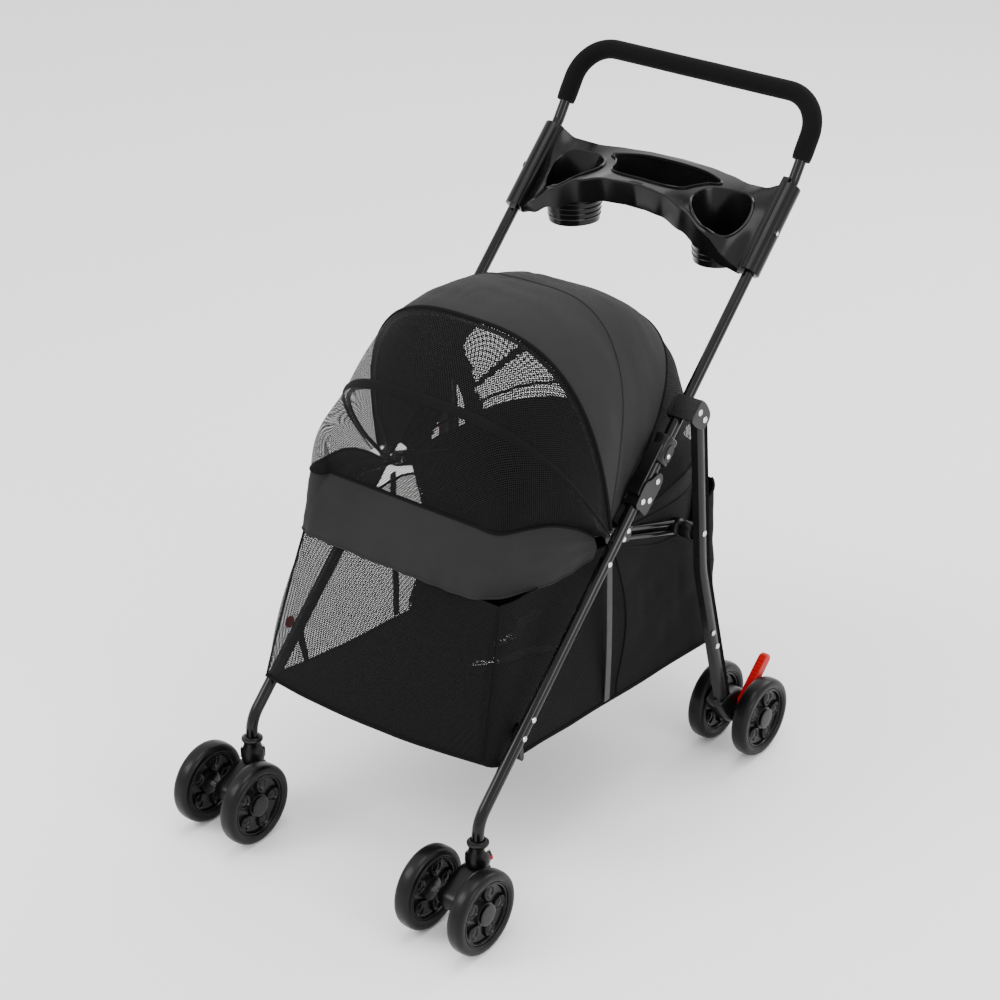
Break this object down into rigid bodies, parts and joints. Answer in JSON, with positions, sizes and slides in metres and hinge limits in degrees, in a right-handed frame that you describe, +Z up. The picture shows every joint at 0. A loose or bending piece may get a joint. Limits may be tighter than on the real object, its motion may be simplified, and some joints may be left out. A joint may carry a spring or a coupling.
{
  "type": "pet stroller",
  "caption": "Folding pet stroller with dual-wheel swivel casters, fabric cabin, mesh canopy, parent tray and foam-covered push handle",
  "frame": {"origin": "on the floor under the middle of the whole stroller's bounding box", "axes": "+Z up, the stroller's front faces -Y, +X is the stroller's left"},
  "size_m": [0.576, 0.8935, 0.9555],
  "materials": {
    "back_panel": "matte",
    "basket_loop": "gloss",
    "brake_lever_left": "gloss",
    "brake_lever_right": "gloss",
    "cabin": "matte",
    "canopy_hood": "matte",
    "caster_fork_left": "satin",
    "caster_fork_right": "satin",
    "caster_socket_left": "satin",
    "caster_socket_right": "satin",
    "dome_lower": "matte",
    "dome_upper": "matte",
    "foam_grip": "matte",
    "fold_bracket_left": "gloss",
    "fold_bracket_right": "gloss",
    "fold_hook": "gloss",
    "fold_pin_left": "satin",
    "fold_pin_right": "satin",
    "fold_post": "gloss",
    "front_axle_left": "satin",
    "front_axle_right": "satin",
    "front_hoop": "gloss",
    "front_leg_left": "gloss",
    "front_leg_right": "gloss",
    "front_wheel_inner_left": "matte",
    "front_wheel_inner_right": "matte",
    "front_wheel_outer_left": "matte",
    "front_wheel_outer_right": "matte",
    "handle_tube": "gloss",
    "hanger_strap_left": "matte",
    "hanger_strap_right": "matte",
    "leg_bracket_left": "gloss",
    "leg_bracket_right": "gloss",
    "leg_pin_left": "satin",
    "leg_pin_right": "satin",
    "lock_sleeve_left": "satin",
    "lock_sleeve_right": "satin",
    "middle_hoop": "gloss",
    "rail_pin_left": "satin",
    "rail_pin_right": "satin",
    "rear_axle_left": "satin",
    "rear_axle_right": "satin",
    "rear_leg_left": "satin",
    "rear_leg_right": "satin",
    "rear_wheel_inner_left": "matte",
    "rear_wheel_inner_right": "matte",
    "rear_wheel_outer_left": "matte",
    "rear_wheel_outer_right": "matte",
    "release_button_left": "gloss",
    "release_button_right": "gloss",
    "rim_band": "matte",
    "rim_tube": "gloss",
    "seat_rail_left": "gloss",
    "seat_rail_right": "gloss",
    "tray": "satin",
    "tray_clamp_left": "satin",
    "tray_clamp_right": "satin",
    "wheel_bracket_left": "satin",
    "wheel_bracket_right": "satin"
  },
  "bodies": {
    "frame": {"front_leg_left": "front_leg_left", "front_leg_right": "front_leg_right", "fold_bracket_left": "fold_bracket_left", "fold_bracket_right": "fold_bracket_right", "fold_pin_left": "fold_pin_left", "fold_pin_right": "fold_pin_right", "caster_socket_left": "caster_socket_left", "caster_socket_right": "caster_socket_right", "rail_pin_left": "rail_pin_left", "rail_pin_right": "rail_pin_right", "hanger_strap_left": "hanger_strap_left", "hanger_strap_right": "hanger_strap_right", "fold_post": "fold_post", "cabin": "cabin", "back_panel": "back_panel"},
    "handle": {"handle_tube": "handle_tube", "foam_grip": "foam_grip", "tray": "tray", "tray_clamp_left": "tray_clamp_left", "tray_clamp_right": "tray_clamp_right", "leg_bracket_left": "leg_bracket_left", "leg_bracket_right": "leg_bracket_right", "leg_pin_left": "leg_pin_left", "leg_pin_right": "leg_pin_right"},
    "rear_frame": {"rear_leg_left": "rear_leg_left", "rear_leg_right": "rear_leg_right", "wheel_bracket_left": "wheel_bracket_left", "wheel_bracket_right": "wheel_bracket_right", "rear_axle_left": "rear_axle_left", "rear_axle_right": "rear_axle_right"},
    "seat_rails": {"seat_rail_left": "seat_rail_left", "seat_rail_right": "seat_rail_right"},
    "rim": {"rim_tube": "rim_tube", "rim_band": "rim_band"},
    "basket": {"basket_loop": "basket_loop"},
    "canopy_front": {"front_hoop": "front_hoop", "canopy_hood": "canopy_hood"},
    "canopy_middle": {"middle_hoop": "middle_hoop", "dome_upper": "dome_upper", "dome_lower": "dome_lower"},
    "hook": {"fold_hook": "fold_hook"},
    "lock_left": {"lock_sleeve_left": "lock_sleeve_left"},
    "button_left": {"release_button_left": "release_button_left"},
    "caster_left": {"caster_fork_left": "caster_fork_left", "front_axle_left": "front_axle_left"},
    "front_wheel_outer_left": {"front_wheel_outer_left": "front_wheel_outer_left"},
    "rear_wheel_outer_left": {"rear_wheel_outer_left": "rear_wheel_outer_left"},
    "front_wheel_inner_left": {"front_wheel_inner_left": "front_wheel_inner_left"},
    "rear_wheel_inner_left": {"rear_wheel_inner_left": "rear_wheel_inner_left"},
    "brake_left": {"brake_lever_left": "brake_lever_left"},
    "lock_right": {"lock_sleeve_right": "lock_sleeve_right"},
    "button_right": {"release_button_right": "release_button_right"},
    "caster_right": {"caster_fork_right": "caster_fork_right", "front_axle_right": "front_axle_right"},
    "front_wheel_outer_right": {"front_wheel_outer_right": "front_wheel_outer_right"},
    "rear_wheel_outer_right": {"rear_wheel_outer_right": "rear_wheel_outer_right"},
    "front_wheel_inner_right": {"front_wheel_inner_right": "front_wheel_inner_right"},
    "rear_wheel_inner_right": {"rear_wheel_inner_right": "rear_wheel_inner_right"},
    "brake_right": {"brake_lever_right": "brake_lever_right"}
  },
  "joints": [
    {"name": "handle_fold", "type": "hinge", "parent": "frame", "child": "handle", "pos_m": [0, 0.04002, 0.50999], "axis": [-1, 0, 0], "range_deg": [0, 115], "deforming": ["cabin", "back_panel", "canopy_hood", "dome_upper", "dome_lower", "rim_band", "hanger_strap_left", "hanger_strap_right"]},
    {"name": "rear_leg_fold", "type": "hinge", "parent": "handle", "child": "rear_frame", "pos_m": [0, 0.12199, 0.57695], "axis": [1, 0, 0], "range_deg": [0, 71], "deforming": ["cabin", "back_panel", "canopy_hood", "dome_upper", "dome_lower", "rim_band", "hanger_strap_left", "hanger_strap_right"]},
    {"name": "seat_rail_fold", "type": "hinge", "parent": "frame", "child": "seat_rails", "pos_m": [0, -0.03459, 0.45251], "axis": [-1, 0, 0], "range_deg": [0, 76], "deforming": ["cabin", "back_panel", "canopy_hood", "dome_upper", "dome_lower", "rim_band", "hanger_strap_left", "hanger_strap_right"]},
    {"name": "rim_fold", "type": "hinge", "parent": "frame", "child": "rim", "pos_m": [0, -0.03459, 0.45251], "axis": [1, 0, 0], "range_deg": [0, 45], "deforming": ["cabin", "back_panel", "canopy_hood", "dome_upper", "dome_lower", "rim_band", "hanger_strap_left", "hanger_strap_right"]},
    {"name": "basket_fold", "type": "hinge", "parent": "frame", "child": "basket", "pos_m": [0, -0.2415, 0.2495], "axis": [1, 0, 0], "range_deg": [0, 27], "deforming": ["cabin", "back_panel", "canopy_hood", "dome_upper", "dome_lower", "rim_band", "hanger_strap_left", "hanger_strap_right"]},
    {"name": "canopy_tilt", "type": "hinge", "parent": "frame", "child": "canopy_front", "pos_m": [0, -0.048, 0.45], "axis": [-1, 0, 0], "range_deg": [0, 40], "deforming": ["back_panel", "canopy_hood", "dome_upper", "dome_lower", "rim_band"]},
    {"name": "middle_hoop_tilt", "type": "hinge", "parent": "canopy_front", "child": "canopy_middle", "pos_m": [0, -0.048, 0.45], "axis": [-1, 0, 0], "range_deg": [0, 16], "deforming": ["back_panel", "canopy_hood", "dome_upper", "dome_lower", "rim_band"]},
    {"name": "hook_swing", "type": "hinge", "parent": "rear_frame", "child": "hook", "pos_m": [-0.2318, 0.1266, 0.5245], "axis": [1, 0, 0], "range_deg": [-25, 60]},
    {"name": "lock_slide_left", "type": "slide", "parent": "handle", "child": "lock_left", "axis": [0, 0.7132, 0.7009], "range_m": [0, 0.025]},
    {"name": "button_press_left", "type": "slide", "parent": "frame", "child": "button_left", "axis": [-0.6589, -0.7522, 0], "range_m": [0, 0.003], "stiffness_N_per_m": 300},
    {"name": "caster_swivel_left", "type": "hinge", "parent": "frame", "child": "caster_left", "pos_m": [0.202, -0.338, 0.09], "axis": [0, 0, 1], "continuous": true},
    {"name": "front_wheel_spin_outer_left", "type": "hinge", "parent": "caster_left", "child": "front_wheel_outer_left", "pos_m": [0.2467, -0.387, 0.06], "axis": [1, 0, 0], "continuous": true},
    {"name": "rear_wheel_spin_outer_left", "type": "hinge", "parent": "rear_frame", "child": "rear_wheel_outer_left", "pos_m": [0.2745, 0.237, 0.06], "axis": [1, 0, 0], "continuous": true},
    {"name": "front_wheel_spin_inner_left", "type": "hinge", "parent": "caster_left", "child": "front_wheel_inner_left", "pos_m": [0.1573, -0.387, 0.06], "axis": [1, 0, 0], "continuous": true},
    {"name": "rear_wheel_spin_inner_left", "type": "hinge", "parent": "rear_frame", "child": "rear_wheel_inner_left", "pos_m": [0.1981, 0.237, 0.06], "axis": [1, 0, 0], "continuous": true},
    {"name": "brake_press_left", "type": "hinge", "parent": "rear_frame", "child": "brake_left", "pos_m": [0.2448, 0.226, 0.08], "axis": [-1, 0, 0], "range_deg": [0, 25]},
    {"name": "lock_slide_right", "type": "slide", "parent": "handle", "child": "lock_right", "axis": [0, 0.7132, 0.7009], "range_m": [0, 0.025]},
    {"name": "button_press_right", "type": "slide", "parent": "frame", "child": "button_right", "axis": [0.6589, -0.7522, 0], "range_m": [0, 0.003], "stiffness_N_per_m": 300},
    {"name": "caster_swivel_right", "type": "hinge", "parent": "frame", "child": "caster_right", "pos_m": [-0.202, -0.338, 0.09], "axis": [0, 0, 1], "continuous": true},
    {"name": "front_wheel_spin_outer_right", "type": "hinge", "parent": "caster_right", "child": "front_wheel_outer_right", "pos_m": [-0.2467, -0.387, 0.06], "axis": [1, 0, 0], "continuous": true},
    {"name": "rear_wheel_spin_outer_right", "type": "hinge", "parent": "rear_frame", "child": "rear_wheel_outer_right", "pos_m": [-0.2745, 0.237, 0.06], "axis": [1, 0, 0], "continuous": true},
    {"name": "front_wheel_spin_inner_right", "type": "hinge", "parent": "caster_right", "child": "front_wheel_inner_right", "pos_m": [-0.1573, -0.387, 0.06], "axis": [1, 0, 0], "continuous": true},
    {"name": "rear_wheel_spin_inner_right", "type": "hinge", "parent": "rear_frame", "child": "rear_wheel_inner_right", "pos_m": [-0.1981, 0.237, 0.06], "axis": [1, 0, 0], "continuous": true},
    {"name": "brake_press_right", "type": "hinge", "parent": "rear_frame", "child": "brake_right", "pos_m": [-0.2448, 0.226, 0.08], "axis": [-1, 0, 0], "range_deg": [0, 25]}
  ],
  "couplings": [
    {"joint": "rear_leg_fold", "follows": "handle_fold", "ratio": 0.61},
    {"joint": "seat_rail_fold", "follows": "handle_fold", "ratio": 0.66},
    {"joint": "rim_fold", "follows": "handle_fold", "ratio": 0.39},
    {"joint": "basket_fold", "follows": "handle_fold", "ratio": 0.234}
  ]
}
